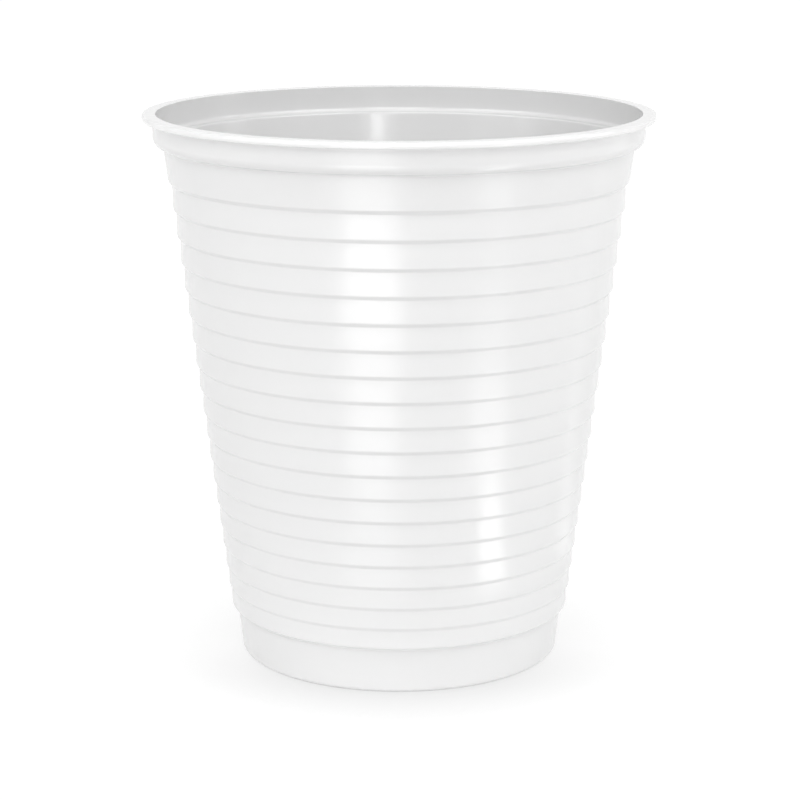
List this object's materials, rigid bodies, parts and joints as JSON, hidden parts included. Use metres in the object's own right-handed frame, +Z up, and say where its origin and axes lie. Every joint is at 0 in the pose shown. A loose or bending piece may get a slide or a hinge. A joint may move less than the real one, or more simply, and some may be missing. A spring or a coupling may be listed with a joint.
{
  "type": "ribbed disposable cup",
  "caption": "Tapering ribbed plastic cup with a turned-out lip, a rounded collar, a stepped wall and a raised base panel, which stands on its base and is open at the top.",
  "frame": {"origin": "centre of the standing ring, on the surface that the cup stands on", "axes": "+Z up along the cup's axis, out of the mouth; the cup is round, so X and Y are any two level directions"},
  "size_m": [0.071, 0.071, 0.0768],
  "materials": {
    "white_plastic": "satin, slightly translucent sheet"
  },
  "bodies": {
    "root": {"ribbed_cup": "white_plastic"}
  },
  "joints": []
}
